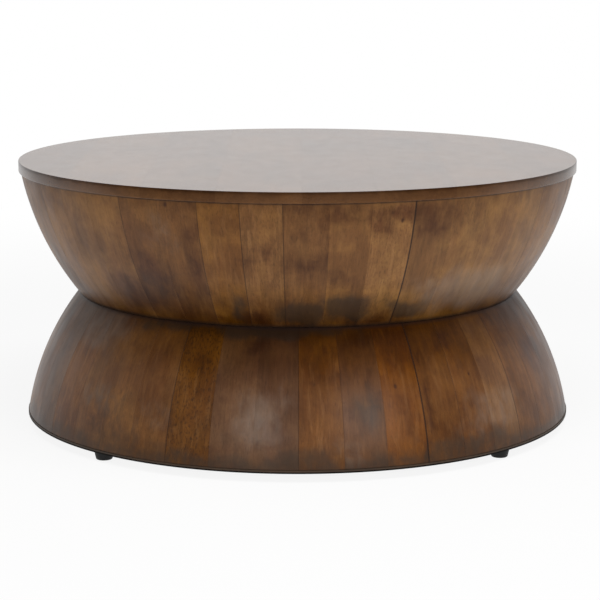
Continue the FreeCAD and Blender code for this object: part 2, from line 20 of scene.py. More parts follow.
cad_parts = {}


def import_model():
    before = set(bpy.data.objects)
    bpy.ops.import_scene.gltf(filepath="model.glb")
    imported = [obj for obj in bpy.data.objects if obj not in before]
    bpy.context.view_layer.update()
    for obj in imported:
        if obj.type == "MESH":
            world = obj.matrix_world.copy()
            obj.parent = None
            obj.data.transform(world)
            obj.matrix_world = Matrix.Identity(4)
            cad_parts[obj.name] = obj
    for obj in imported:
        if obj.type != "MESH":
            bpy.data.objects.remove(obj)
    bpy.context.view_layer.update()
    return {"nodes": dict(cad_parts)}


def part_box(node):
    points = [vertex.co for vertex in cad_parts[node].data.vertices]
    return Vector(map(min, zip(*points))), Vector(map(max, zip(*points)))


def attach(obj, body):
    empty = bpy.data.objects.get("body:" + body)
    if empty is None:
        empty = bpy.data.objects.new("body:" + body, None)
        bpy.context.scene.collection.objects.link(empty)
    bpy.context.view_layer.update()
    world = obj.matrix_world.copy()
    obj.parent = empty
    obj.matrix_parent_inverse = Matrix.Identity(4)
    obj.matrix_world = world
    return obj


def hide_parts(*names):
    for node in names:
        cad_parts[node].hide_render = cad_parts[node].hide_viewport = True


LOG = logging.getLogger("drum_table")
MM = 0.001
UP = Vector((0.0, 0.0, 1.0))
NOISE_SEED = 4
DISC_SIDES = 288
# Points nearer than MERGE become one, measures nearer than TOUCH and angles nearer than SAME_ANGLE
# are the same, and an edge that turns by less than CORNER lies between facets of one face
MERGE = 0.001 * MM
TOUCH = 1e-6
SAME_ANGLE = 1e-4
CORNER = math.radians(40.0)


def linear(code: str) -> tuple[float, float, float, float]:
    """Turn an sRGB hex colour to linear RGBA.

    Args:
        code: the colour, such as "#8a5a2c".

    Returns:
        Red, green, blue and an alpha of 1, as Blender's sockets take them.
    """
    channels = [int(code[place:place + 2], 16) / 255 for place in (1, 3, 5)]
    red, green, blue = (c / 12.92 if c <= 0.04045 else ((c + 0.055) / 1.055) ** 2.4
                        for c in channels)
    return red, green, blue, 1.0


def add(tree: NodeTree, kind: str, inputs: dict[Any, Any] | None = None, **settings: Any) -> Node:
    """Add a node with its settings, its values and its links.

    Args:
        tree: the node tree that gets the node.
        kind: the node's type, without the "ShaderNode" in front.
        inputs: value, or socket to link from, for each input, by name or number.
        settings: properties of the node itself.

    Returns:
        The new node.
    """
    made = tree.nodes.new("ShaderNode" + kind)
    for name, value in settings.items():
        setattr(made, name, value)
    for key, value in (inputs or {}).items():
        if isinstance(value, NodeSocket):
            tree.links.new(value, made.inputs[key])
        else:
            made.inputs[key].default_value = value
    return made


def new_tree(owner: Material | bpy.types.World) -> NodeTree:
    """Give a material or a world an empty node tree.

    Args:
        owner: the material or the world.

    Returns:
        Its node tree.
    """
    owner.use_nodes = True
    owner.node_tree.nodes.clear()
    return owner.node_tree


def mix(tree: NodeTree, share: Any, under: Any, over: Any, blend: str = "MIX") -> NodeSocket:
    """Lay one colour over another by a share."""
    return add(tree, "Mix", {"Factor": share, 6: under, 7: over}, data_type="RGBA",
               blend_type=blend).outputs[2]


def maths(tree: NodeTree, operation: str, *numbers: Any) -> NodeSocket:
    """Work out an operation on one to three numbers."""
    return add(tree, "Math", dict(enumerate(numbers)), operation=operation).outputs[0]


def rescale(tree: NodeTree, number: Any, before: Sequence[Any] = (0.0, 1.0),
            after: Sequence[float] = (0.0, 1.0), curve: str = "LINEAR") -> NodeSocket:
    """Take a number from one range to another, and keep it inside that one.

    Args:
        tree: the node tree that gets the node.
        number: the number, or the socket that gives it.
        before, after: the two ranges.
        curve: how it goes from end to end.

    Returns:
        The number in its new range.
    """
    return add(tree, "MapRange", {"Value": number, "From Min": before[0], "From Max": before[1],
                                  "To Min": after[0], "To Max": after[1]},
               interpolation_type=curve).outputs[0]


def split(tree: NodeTree, vector: NodeSocket) -> list[NodeSocket]:
    """Take a vector apart into its three numbers."""
    return list(add(tree, "SeparateXYZ", {0: vector}).outputs)


def weighted_length(tree: NodeTree, vector: NodeSocket, weights: Sequence[float]) -> NodeSocket:
    """Length of a vector whose numbers are weighted."""
    weighted = add(tree, "VectorMath", {0: vector, 1: weights}, operation="MULTIPLY").outputs[0]
    return add(tree, "VectorMath", {0: weighted}, operation="LENGTH").outputs["Value"]


def spots(tree: NodeTree, place: NodeSocket, size_mm: Sequence[float], detail: float,
          distortion: float = 0.0, roughness: float = 0.5) -> NodeSocket:
    """Noise whose spots have a size along each axis.

    Args:
        tree: the node tree that gets the nodes.
        place: the point where the noise is read.
        size_mm: the spots' size along each axis, in mm.
        detail: how many finer layers it has.
        distortion: how much it is warped.
        roughness: how strong its finer layers are.

    Returns:
        The noise, round about 0.5.
    """
    scale = [1 / (size * MM) for size in size_mm]
    scaled = add(tree, "Mapping", {"Vector": place, "Scale": scale}).outputs[0]
    return add(tree, "TexNoise", {"Vector": scaled, "Scale": 1.0, "Detail": detail,
                                  "Roughness": roughness, "Distortion": distortion}).outputs[0]


def ramp(tree: NodeTree, number: NodeSocket, stops: Sequence[tuple[float, float]]) -> NodeSocket:
    """Turn a number to a grey.

    Args:
        tree: the node tree that gets the colour ramp.
        number: the number, from 0 to 1.
        stops: position and grey value of each stop, in order.

    Returns:
        The ramp's colour output.
    """
    made = add(tree, "ValToRGB", {0: number})
    elements = made.color_ramp.elements
    while len(elements) < len(stops):
        elements.new(0.5)
    for element, (place, grey) in zip(elements, stops):
        element.position = place
        element.color = (grey, grey, grey, 1.0)
    return made.outputs["Color"]


class Tone(Enum):
    """Shades that one brown stain leaves on different boards of the same hardwood."""

    HONEY = "#92693a"
    FAWN = "#876034"
    TAN = "#80592f"
    AMBER = "#7a5123"
    CHESTNUT = "#714c28"
    WALNUT = "#684422"
    UMBER = "#59381d"
    RUSSET = "#683c10"
    OCHRE = "#603a10"
    COPPER = "#643d17"
    SMOKE = "#604229"


@dataclass(frozen=True)
class Mark:
    """What sets one stave or board apart from its neighbours.

    Attributes:
        tone: the shade that the stain left.
        bloom: how much pale, rubbed-through figure it shows, from 0 to 1.
        seam: how dark its left and right seams are, from 0 to 1.
        speckle: how thickly it is dotted with dark specks, from 0 to 1.
        knot: place across from its middle and along from its low end, and radius of a knot, in mm.
    """

    tone: Tone
    bloom: float = 0.3
    seam: tuple[float, float] = (0.3, 0.3)
    speckle: float = 0.15
    knot: tuple[float, float, float] = (0.0, -500.0, 1.0)


class PatchLook(Enum):
    """Looks of a patch, each with its own part of the patches' vector."""

    SMUDGE_AND_SHADE = 0
    DEEP = 1
    PAINTED_SHEEN = 2


@dataclass(frozen=True)
class Patch:
    """A soft-edged place on a bowl: stain that took differently, painted shade, or painted sheen.

    Attributes:
        stain: what it looks like.
        angle: its middle, in degrees from the front.
        share: its middle, as a share of the way from the waist to the bowl's far end.
        width: half of its width, in degrees.
        height: half of its height, as a share of the same way.
        strength: how much it shows, from 0 to 1.
    """

    stain: PatchLook
    angle: float
    share: float
    width: float
    height: float
    strength: float

    def weight(self, angle: float, share: float) -> float:
        """How strongly the patch shows at a place: full inside, and fading past its edge.

        Args:
            angle: the place's angle, in degrees from the front.
            share: its share of the way from the waist to the bowl's far end.

        Returns:
            The patch's strength there.
        """
        across = math.remainder(angle - self.angle, 360.0) / self.width
        along = (share - self.share) / self.height
        return self.strength / (1.0 + across ** 4 + along ** 4)


@dataclass(frozen=True)
class StainedHardwood:
    """Mango-like hardwood, planed and sanded, stained brown and sprayed with nitrocellulose lacquer.

    The stain sinks unevenly, so boards differ, pores and seams go dark, and the lacquer lays a
    thin clear film over it that turns grey-white where it is seen along the surface. Painted shade
    beside the waist and at the ends, and painted sheen in pale patches, are laid into its colour.
    """

    name: str
    roughness: float
    coat: float
    coat_roughness: float
    specular: float = 0.22
    sheen_range: float = 0.055
    figure_mm: float = 11.0
    fibre_mm: float = 2.4
    pore_mm: float = 1.7
    blotch_mm: float = 46.0
    cloud_mm: float = 75.0
    cloud: tuple[str, str] = ("#cdc3c6", "#ffffff")
    seam_share: float = 0.024
    bump_mm: float = 0.12
    # The darkening along each stave and at its ends is partly stain and glue, partly painted shade beside
    # the waist, under the top and near the base
    stain_and_shade_run: tuple[tuple[float, float], ...] = ((0.0, 1.0), (1.0, 1.0))
    stain_and_shade_tint: str = "#3a1c0c"
    stain_and_shade_depth: float = 1.0
    joint_and_shade_tint: str = "#1f1714"
    joint_and_contact_shade: tuple[tuple[float, float], ...] = ((0.0, 0.85), (0.012, 0.62), (0.035, 0.0), (0.984, 0.0),
                                              (0.996, 0.6))

    def material(self) -> Material:
        """Build the material, which reads each piece's own attributes.

        Returns:
            The material.
        """
        made = bpy.data.materials.new(self.name)
        tree = new_tree(made)
        grain, place, marks, patches, knot = (
            add(tree, "Attribute", attribute_name=name).outputs["Vector"]
            for name in ("grain", "place", "marks", "patches", "knot"))
        side, share, _ = split(tree, place)
        bloom, speckle, seam = split(tree, marks)
        smudge_and_shade, deep, painted_sheen = split(tree, patches)

        def figure(across: float, along: float, detail: float, distortion: float = 0.0) -> NodeSocket:
            """Noise whose spots have a width across the grain and a length along it, in mm."""
            return spots(tree, grain, (across, along, across), detail, distortion, 0.55)

        # Fibres, and the broad bands of growth that they follow
        fibre = figure(self.fibre_mm, 90.0, detail=5.0, distortion=0.4)
        band = figure(self.figure_mm, 340.0, detail=3.0, distortion=0.9)
        # Open pores: short dark dashes, drawn a little coarser than the real ones so that they show
        pore = ramp(tree, figure(self.pore_mm, 14.0, detail=2.0), ((0.30, 0.74), (0.41, 1.0)))
        # Stain that took unevenly, in soft patches longer than they are wide
        blotch = figure(self.blotch_mm, 2.1 * self.blotch_mm, detail=3.0, distortion=0.6)
        colour = add(tree, "Attribute", attribute_name="tone").outputs["Color"]
        for grey in (ramp(tree, fibre, ((0.28, 0.9), (0.52, 1.0), (0.78, 1.09))),
                     ramp(tree, band, ((0.32, 0.88), (0.5, 1.0), (0.7, 1.1))), pore,
                     ramp(tree, blotch, ((0.3, 0.82), (0.52, 1.0), (0.72, 1.13)))):
            colour = mix(tree, 1.0, colour, grey, "MULTIPLY")

        # Stain that was wiped on in passes: duller and brighter clouds that cross the seams
        cloud = spots(tree, add(tree, "TexCoord").outputs["Object"], [self.cloud_mm] * 3, 5.0,
                      roughness=0.62)
        clouded = rescale(tree, cloud, (0.36, 0.66), curve="SMOOTHSTEP")
        tint = mix(tree, clouded, linear(self.cloud[0]), linear(self.cloud[1]))
        colour = mix(tree, 1.0, colour, tint, "MULTIPLY")

        # Pale figure where the sanding cut through the stain, and dark specks of the wood itself,
        # which are drawn larger than the real ones so that they show
        pale = ramp(tree, figure(7.0, 60.0, detail=5.0, distortion=0.5), ((0.5, 0.0), (0.74, 0.6)))
        specks = ramp(tree, figure(2.4, 6.0, detail=3.0, distortion=0.2), ((0.32, 0.75), (0.5, 0.0)))
        for spotted, amount, code in ((pale, bloom, "#94693f"), (specks, speckle, "#2b1a0c")):
            colour = mix(tree, maths(tree, "MULTIPLY", spotted, amount), colour, linear(code))

        # Patches with ragged soft edges: deep purplish stain, grey-green smudges, some of them painted
        # shade under the waist, and pale patches of painted sheen
        rags = figure(15.0, 30.0, detail=5.0, distortion=0.4)
        for patch, blend, code, most, rag in ((deep, "MULTIPLY", "#b09c99", 1.0, 1.0),
                                              (smudge_and_shade, "MIX", "#362b22", 0.75, 1.1),
                                              (painted_sheen, "MIX", "#85776b", 0.45, 0.8)):
            ragged = maths(tree, "MULTIPLY_ADD", rags, rag, patch)
            amount = rescale(tree, ragged, (0.15 + rag / 2, 1.05 + rag / 2), (0.0, most), "SMOOTHSTEP")
            colour = mix(tree, amount, colour, linear(code), blend)

        # A knot: a dark heart that fades outwards, with its radius as the third number
        offset = add(tree, "VectorMath", {0: grain, 1: knot}, operation="SUBTRACT").outputs[0]
        radii = maths(tree, "DIVIDE", weighted_length(tree, offset, (1.0, 0.6, 0.0)), split(tree, knot)[2])
        heart = rescale(tree, radii, (0.4, 1.5), (0.75, 0.0), "SMOOTHSTEP")
        colour = mix(tree, heart, colour, linear("#2e150a"))

        # Darker beside the waist and at the ends, more on one stave than another: partly stain that ran
        # down and gathered there, partly painted shade under the overhangs
        sway = rescale(tree, figure(30.0, 400.0, detail=2.0), (0.3, 0.7), (-0.05, 0.05))
        stain_and_shade_run = ramp(tree, maths(tree, "ADD", share, sway), self.stain_and_shade_run)
        tint = mix(tree, stain_and_shade_run, linear(self.stain_and_shade_tint), linear("#ffffff"))
        colour = mix(tree, 1.0, colour, tint, "MULTIPLY")
        depth = rescale(tree, stain_and_shade_run, after=(self.stain_and_shade_depth, 1.0))
        colour = add(tree, "HueSaturation", {"Saturation": depth, "Color": colour}).outputs[0]

        # Stain and glue darken the seams, in lines of a millimetre or two; at the two end joints a dark
        # glue line widens into painted shade, a contact shadow where each bowl meets the waist and its far
        # end
        start = rescale(tree, seam, after=(1.0 - 0.4 * self.seam_share, 1.0 - 2.6 * self.seam_share))
        edge = rescale(tree, maths(tree, "ABSOLUTE", side), (start, 1.0 - 0.25 * self.seam_share))
        for dark, code in ((ramp(tree, share, self.joint_and_contact_shade), self.joint_and_shade_tint),
                           (maths(tree, "MULTIPLY", edge, seam), "#20130c")):
            colour = mix(tree, dark, colour, linear(code))

        # The film is duller in soft patches, and thinner where the stain gathered and where shade is
        # painted, so that the painted shade also dims its reflections
        dull = figure(26.0, 60.0, detail=2.0, distortion=0.3)
        rough = rescale(tree, dull, (0.3, 0.7),
                        (self.roughness - self.sheen_range, self.roughness + self.sheen_range))
        film, coat = (rescale(tree, stain_and_shade_run, (0.36, 1.0), (0.2 * most, most))
                      for most in (self.specular, self.coat))
        bump = add(tree, "Bump", {"Strength": 0.6, "Distance": self.bump_mm * MM,
                                  "Height": maths(tree, "MULTIPLY", fibre, pore)})
        shader = add(tree, "BsdfPrincipled", {
            "Base Color": colour,
            "Roughness": rough,
            "IOR": 1.5,
            "Specular IOR Level": film,
            "Coat Weight": coat,
            "Coat Roughness": self.coat_roughness,
            "Coat IOR": 1.48,
            "Normal": bump.outputs["Normal"],
        })
        add(tree, "OutputMaterial", {"Surface": shader.outputs[0]})
        return made


@dataclass(frozen=True)
class PlainWood:
    """Wood that the buyer doesn't see: sanded, or with one coat of stain, and no lacquer.

    Its grain runs along X. A ply of a positive thickness gives it a sheet's dark glue lines, which
    show wherever an edge is cut across the layers. A rim, given as a radius and a level, makes it
    nearly black and less glossy outside that radius and below that level: painted shade under the lip.
    """

    name: str
    pale: str
    dark: str
    roughness: float
    ply_mm: float = 0.0
    rim: tuple[float, float] | None = None

    def material(self) -> Material:
        """Build the material on Object coordinates.

        Returns:
            The material.
        """
        made = bpy.data.materials.new(self.name)
        tree = new_tree(made)
        place = add(tree, "TexCoord").outputs["Object"]
        height = split(tree, place)[2]
        fibre = spots(tree, place, (80.0, 2.5, 2.5), detail=4.0, distortion=0.5)
        band = spots(tree, place, (300.0, 28.0, 28.0), detail=3.0, distortion=1.5)
        amount = rescale(tree, maths(tree, "MULTIPLY", fibre, band), (0.14, 0.40))
        colour = mix(tree, amount, linear(self.dark), linear(self.pale))
        if self.ply_mm > 0:
            layer = maths(tree, "PINGPONG", height, self.ply_mm * MM)
            line = rescale(tree, layer, (0.08 * MM, 0.3 * MM), (0.65, 0.0))
            colour = mix(tree, line, colour, linear("#4a3424"))
        gloss = 0.4
        # Painted shade: outside the rim's radius and below its level the wood goes nearly black and nearly
        # loses its gloss
        if self.rim:
            radius, level = self.rim
            below = rescale(tree, height, (level - 0.3 * MM, level), (1.0, 0.0))
            outer = rescale(tree, weighted_length(tree, place, (1.0, 1.0, 0.0)),
                            (radius - 0.5 * MM, radius))
            dark = maths(tree, "MULTIPLY", below, outer)
            colour = mix(tree, dark, colour, linear("#0c0805"))
            gloss = rescale(tree, dark, after=(gloss, 0.08))
        bump = add(tree, "Bump", {"Strength": 0.5, "Distance": 0.15 * MM, "Height": fibre})
        shader = add(tree, "BsdfPrincipled", {"Base Color": colour, "Roughness": self.roughness,
                                              "Specular IOR Level": gloss,
                                              "Normal": bump.outputs["Normal"]})
        add(tree, "OutputMaterial", {"Surface": shader.outputs[0]})
        return made


@dataclass(frozen=True)
class ZincPlatedSteel:
    """Cold-headed steel with a bright zinc plating: pale, slightly blue and softly brushed."""

    name: str = "zinc plated steel"
    colour: str = "#c3c7cc"
    roughness: float = 0.32

    def material(self) -> Material:
        """Build the material, with the plating's faint cloudiness.

        Returns:
            The material.
        """
        made = bpy.data.materials.new(self.name)
        tree = new_tree(made)
        cloud = spots(tree, add(tree, "TexCoord").outputs["Object"], (1.8, 1.8, 1.8), detail=3.0)
        rough = rescale(tree, cloud, (0.3, 0.7), (self.roughness - 0.07, self.roughness + 0.1))
        shader = add(tree, "BsdfPrincipled", {"Base Color": linear(self.colour), "Metallic": 1.0,
                                              "Roughness": rough})
        add(tree, "OutputMaterial", {"Surface": shader.outputs[0]})
        return made


@dataclass(frozen=True)
class MouldedRubber:
    """Black natural rubber, moulded against a blasted tool, so that it is matt and finely pitted."""

    name: str = "moulded black rubber"
    colour: str = "#0d0c0b"
    roughness: float = 0.6
    grit_mm: float = 0.35

    def material(self) -> Material:
        """Build the material.

        Returns:
            The material.
        """
        made = bpy.data.materials.new(self.name)
        tree = new_tree(made)
        place = add(tree, "TexCoord").outputs["Object"]
        grit = spots(tree, place, [self.grit_mm] * 3, detail=2.0)
        dust = spots(tree, place, (9.0, 9.0, 9.0), detail=4.0)
        amount = rescale(tree, dust, (0.45, 0.8), (0.0, 0.35))
        colour = mix(tree, amount, linear(self.colour), linear("#2b2a28"))
        bump = add(tree, "Bump", {"Strength": 0.4, "Distance": 0.05 * MM, "Height": grit})
        shader = add(tree, "BsdfPrincipled", {"Base Color": colour, "Roughness": self.roughness,
                                              "Specular IOR Level": 0.3,
                                              "Normal": bump.outputs["Normal"]})
        add(tree, "OutputMaterial", {"Surface": shader.outputs[0]})
        return made


def ease(shape: BMesh, geom: Sequence[Any], size: float, segments: int, affect: str = "EDGES") -> None:
    """Round off some edges, or some corners of an outline."""
    bmesh.ops.bevel(shape, geom=geom, offset=size, offset_type="OFFSET", segments=segments,
                    profile=0.5, affect=affect, material=-1)


def saw(shape: BMesh, point: Sequence[float], away: Sequence[float]) -> list[BMEdge]:
    """Cut off what lies past a plane, and close the cut.

    Args:
        shape: the mesh being built.
        point: a point of the plane.
        away: the plane's normal, towards what goes.

    Returns:
        The edges round the cut.
    """
    cut = bmesh.ops.bisect_plane(shape, geom=shape.verts[:] + shape.edges[:] + shape.faces[:],
                                 plane_co=point, plane_no=away, clear_outer=True)
    rim = [item for item in cut["geom_cut"] if isinstance(item, BMEdge)]
    bmesh.ops.contextual_create(shape, geom=rim)
    return rim


def round_panel(radius: float, low: float, high: float, arris: float, segments: int) -> BMesh:
    """Build a round panel with both of its arrises rounded.

    Args:
        radius: its outer radius.
        low, high: its lower and upper level.
        arris: how far back from the edge the rounding starts.
        segments: how many strips each rounding has.

    Returns:
        The panel's mesh.
    """
    shape = bmesh.new()
    bmesh.ops.create_circle(shape, cap_ends=True, radius=radius, segments=DISC_SIDES)
    bmesh.ops.translate(shape, verts=shape.verts, vec=(0.0, 0.0, low))
    grown = bmesh.ops.extrude_face_region(shape, geom=shape.faces[:])["geom"]
    raised = [item for item in grown if isinstance(item, BMVert)]
    bmesh.ops.translate(shape, verts=raised, vec=(0.0, 0.0, high - low))
    bmesh.ops.recalc_face_normals(shape, faces=shape.faces)
    ease(shape, [edge for edge in shape.edges if edge.calc_face_angle(0.0) > CORNER], arris, segments)
    return shape


def new_object(name: str, data: bpy.types.ID) -> Object:
    """Add an object to the scene.

    Args:
        name: its name.
        data: its mesh, lamp or camera.

    Returns:
        The object.
    """
    made = bpy.data.objects.new(name, data)
    bpy.context.scene.collection.objects.link(made)
    return made


def finish_piece(shape: BMesh, name: str, material: Material, nodes: Iterable[str],
                 sharp: float = 32.0) -> Object:
    """Turn a finished bmesh into a piece of the table.

    Args:
        shape: the mesh being built, which is freed.
        name: the piece's name.
        material: its material.
        nodes: the CAD nodes that it stands for.
        sharp: edges that turn by more than this many degrees stay sharp.

    Returns:
        The piece, riding on the table.
    """
    bmesh.ops.remove_doubles(shape, verts=shape.verts, dist=MERGE)
    bmesh.ops.recalc_face_normals(shape, faces=shape.faces)
    mesh = bpy.data.meshes.new(name)
    shape.to_mesh(mesh)
    shape.free()
    mesh.polygons.foreach_set("use_smooth", [True] * len(mesh.polygons))
    mesh.set_sharp_from_angle(angle=math.radians(sharp))
    mesh.materials.append(material)
    piece = new_object(name, mesh)
    shading = piece.modifiers.new("even shading beside the eased edges", "WEIGHTED_NORMAL")
    shading.keep_sharp = True
    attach(piece, "root")
    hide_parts(*nodes)
    return piece


def write_vectors(piece: Object, name: str, values: Iterable[Sequence[float]]) -> None:
    """Store a vector for each vertex of a piece.

    Args:
        piece: the piece that gets the attribute.
        name: the attribute's name.
        values: a vector for each vertex, in order.
    """
    attribute = piece.data.attributes.new(name, "FLOAT_VECTOR", "POINT")
    attribute.data.foreach_set("vector", [number for value in values for number in value])


def write_marks(piece: Object, mark: Mark, sides: Sequence[float], knot: Vector,
                patches: Iterable[Sequence[float]]) -> None:
    """Store what sets a piece of stained hardwood apart.

    Args:
        piece: the stave or board.
        mark: its tone, bloom, specks and seams.
        sides: each vertex's place across the piece, from -1 at its left to 1 at its right.
        knot: the knot's place, in the coordinates of the grain, and its radius.
        patches: how strongly each look of a patch shows, for each vertex.
    """
    count = len(piece.data.vertices)
    tone = piece.data.attributes.new("tone", "FLOAT_COLOR", "POINT")
    tone.data.foreach_set("color", linear(mark.tone.value) * count)
    left, right = mark.seam
    shares = [min(max((side + 1) / 2, 0.0), 1.0) for side in sides]
    write_vectors(piece, "marks", [(mark.bloom, mark.speckle, left + share * (right - left))
                                   for share in shares])
    write_vectors(piece, "knot", [knot] * count)
    write_vectors(piece, "patches", patches)


@dataclass
class Bowl:
    """One of the two bowls: a ring of coopered staves, turned outside and flat inside.

    Attributes:
        name: which bowl it is, as its nodes are named.
        low, high: level and outer radius of its two ends, in metres.
        bulge: how far the turned face stands out from the chord between its ends.
        wall: thickness of a stave at its ends.
        first_seam: angle in degrees from the front to the seam where the widths start.
        width_shares: widths of the staves as shares of the mean, for half a bowl, used twice.
        marks: what sets the staves near the front apart, by number.
        patches: where the stain took differently, and where shade and sheen are painted, near the front.
        waist_below: whether the low end is the one at the waist.
        seed: seed for the marks of the other staves.
        shades: the tones that the other staves are drawn from.
    """

    name: str
    low: tuple[float, float]
    high: tuple[float, float]
    bulge: float
    wall: float
    first_seam: float
    width_shares: tuple[float, ...]
    marks: dict[int, Mark]
    patches: tuple[Patch, ...]
    waist_below: bool
    seed: int
    shades: tuple[Tone, ...]
    stave_count: int = 42
    bundle_size: int = 3
    steps_up: int = 24
    steps_round: int = 6
    seam_ease: float = 0.12 * MM
    end_ease: float = 1.0 * MM
    patch_wave: float = 40.0 * MM

    def build(self, finish: StainedHardwood) -> list[Object]:
        """Build every stave of the bowl.

        Args:
            finish: the wood that the staves are of.

        Returns:
            The staves.
        """
        material = finish.material()
        shares = [self.width_shares[n % len(self.width_shares)] for n in range(self.stave_count)]
        per_share = 360.0 / sum(shares)
        chance = random.Random(self.seed)
        self.patches += self._other_patches(chance)
        seam = self.first_seam
        staves = []
        for number, share in enumerate(shares, start=1):
            angle = share * per_share
            mark = self.marks.get(number) or self._other_mark(chance)
            staves.append(self._stave(number, seam + angle / 2, angle, mark, material))
            seam += angle
        return staves

    def _other_mark(self, chance: random.Random) -> Mark:
        """Draw the marks of a stave that stands away from the front.

        Args:
            chance: the bowl's random numbers.

        Returns:
            The marks.
        """
        tone = chance.choice(self.shades)
        return Mark(tone, bloom=chance.uniform(0.0, 0.6), speckle=chance.uniform(0.0, 0.4),
                    seam=(chance.uniform(0.1, 0.5), chance.uniform(0.1, 0.7)))

    @staticmethod
    def _other_patches(chance: random.Random) -> tuple[Patch, ...]:
        """Draw the patches on the sides and the back: deep stain, smudges and painted shade near the
        waist, and painted sheen.

        Args:
            chance: the bowl's random numbers.

        Returns:
            The patches.
        """
        made = []
        for stain, count, low, high, spread in ((PatchLook.DEEP, 14, 0.2, 0.95, 1.0),
                                                (PatchLook.SMUDGE_AND_SHADE, 7, 0.08, 0.2, 1.0),
                                                (PatchLook.PAINTED_SHEEN, 5, 0.3, 0.6, 1.6)):
            for _ in range(count):
                made.append(Patch(stain, chance.uniform(66.0, 294.0), chance.uniform(low, high),
                                  spread * chance.uniform(2.0, 6.0),
                                  spread * chance.uniform(0.06, 0.14),
                                  chance.uniform(0.4, 0.8) / spread))
        return tuple(made)

    def _outline(self, shape: BMesh) -> list[Any]:
        """Draw a stave's section in the XZ plane: the turned arc outside and a straight inside.

        Args:
            shape: the mesh being built.

        Returns:
            The section's vertices, edges and face.
        """
        low = Vector((self.low[1], 0.0, self.low[0]))
        high = Vector((self.high[1], 0.0, self.high[0]))
        chord = high - low
        radius = chord.length_squared / (8 * self.bulge) + self.bulge / 2
        inward = Vector((-chord.z, 0.0, chord.x)).normalized()
        centre = (low + high) / 2 + inward * (radius - self.bulge)
        start = shape.verts.new(low)
        sweep = 2 * math.asin(chord.length / (2 * radius))
        bmesh.ops.spin(shape, geom=[start], axis=(0.0, 1.0, 0.0), cent=centre, dvec=(0, 0, 0),
                       angle=-sweep, steps=self.steps_up)
        ends = sorted(shape.verts, key=lambda vert: vert.co.z)
        ends = [ends[0], ends[-1]]
        inner = bmesh.ops.extrude_vert_indiv(shape, verts=ends)["verts"]
        bmesh.ops.translate(shape, verts=inner, vec=(-self.wall - 2 * MM, 0.0, 0.0))
        shape.edges.new(inner)
        bmesh.ops.contextual_create(shape, geom=shape.edges[:])
        return shape.verts[:] + shape.edges[:] + shape.faces[:]

    def _stave(self, number: int, middle: float, angle: float, mark: Mark, material: Material) -> Object:
        """Build one stave.

        Args:
            number: its number, counted towards +X from the seam nearest the front.
            middle: angle in degrees from the front to its middle.
            angle: the angle that it takes up, in degrees.
            mark: what sets it apart.
            material: the wood.

        Returns:
            The stave.
        """
        shape = bmesh.new()
        section = self._outline(shape)
        half = math.radians(angle) / 2
        turn = Matrix.Rotation(-half, 4, UP)
        bmesh.ops.transform(shape, matrix=turn, verts=shape.verts)
        bmesh.ops.spin(shape, geom=section, axis=UP, cent=(0, 0, 0), angle=2 * half,
                       steps=self.steps_round, use_merge=False)
        bmesh.ops.remove_doubles(shape, verts=shape.verts, dist=MERGE)
        self._plane_inside(shape)
        bmesh.ops.recalc_face_normals(shape, faces=shape.faces)
        self._ease(shape, half)
        bmesh.ops.rotate(shape, verts=shape.verts, cent=(0, 0, 0),
                         matrix=Matrix.Rotation(math.radians(middle - 90.0), 3, UP))
        bundle = (number - 1) // self.bundle_size + 1
        piece = finish_piece(shape, f"{self.name}_stave_{number:02d}", material,
                             [f"{self.name}_staves_{bundle:02d}"])
        self._write_grain(piece, number, math.radians(middle - 90.0), half, mark)
        return piece

    def _plane_inside(self, shape: BMesh) -> None:
        """Cut the inside of a stave flat, square to its middle.

        Args:
            shape: the stave, with its middle along +X.
        """
        low = Vector((self.low[1] - self.wall, 0.0, self.low[0]))
        high = Vector((self.high[1] - self.wall, 0.0, self.high[0]))
        slope = high - low
        saw(shape, low, Vector((-slope.z, 0.0, slope.x)).normalized())

    def _ease(self, shape: BMesh, half: float) -> None:
        """Ease a stave's outer edges: a hair at the seams, a little more at its ends.

        Args:
            shape: the stave, with its middle along +X.
            half: half of its angle, in radians.
        """
        seams, ends = [], []
        for edge in shape.edges:
            if len(edge.link_faces) != 2 or edge.calc_face_angle() < CORNER:
                continue
            middle = (edge.verts[0].co + edge.verts[1].co) / 2
            if middle.xy.length < self._chord_radius(middle.z) - 2 * MM:
                continue
            if all(abs(abs(math.atan2(v.co.y, v.co.x)) - half) < SAME_ANGLE for v in edge.verts):
                seams.append(edge)
            else:
                ends.append(edge)
        ease(shape, ends, self.end_ease, 3)
        ease(shape, [edge for edge in seams if edge.is_valid], self.seam_ease, 1)

    def _chord_radius(self, level: float) -> float:
        """Outer radius at a level, without the bulge."""
        share = (level - self.low[0]) / (self.high[0] - self.low[0])
        return self.low[1] + share * (self.high[1] - self.low[1])

    def _write_grain(self, piece: Object, number: int, middle: float, half: float, mark: Mark) -> None:
        """Give each vertex its place in the wood: across and along the grain, and deep in it.

        Args:
            piece: the stave.
            number: its number, from which its wood is taken out of a longer board.
            middle: direction of its middle, in radians from +X.
            half: half of its angle, in radians.
            mark: what sets it apart.
        """
        start = Vector((0.41 * number, 0.77 * number, 0.0))
        length = math.hypot(self.high[1] - self.low[1], self.high[0] - self.low[0])
        grain, place, patches = [], [], []
        for vert in piece.data.vertices:
            turn = math.remainder(math.atan2(vert.co.y, vert.co.x) - middle, math.tau)
            reach = vert.co.xy.length
            rise = (vert.co.z - self.low[0]) / (self.high[0] - self.low[0])
            depth = reach - self._chord_radius(vert.co.z)
            grain.append(start + Vector((turn * reach, rise * length, depth)))
            from_waist = rise if self.waist_below else 1.0 - rise
            place.append((turn / half, from_waist, 0.0))
            patches.append(self._patched(vert.co, math.degrees(middle + turn) + 90.0, from_waist))
        write_vectors(piece, "grain", grain)
        write_vectors(piece, "place", place)
        across, along, radius = (size * MM for size in mark.knot)
        write_marks(piece, mark, [side for side, _, _ in place],
                    start + Vector((across, along, radius)), patches)

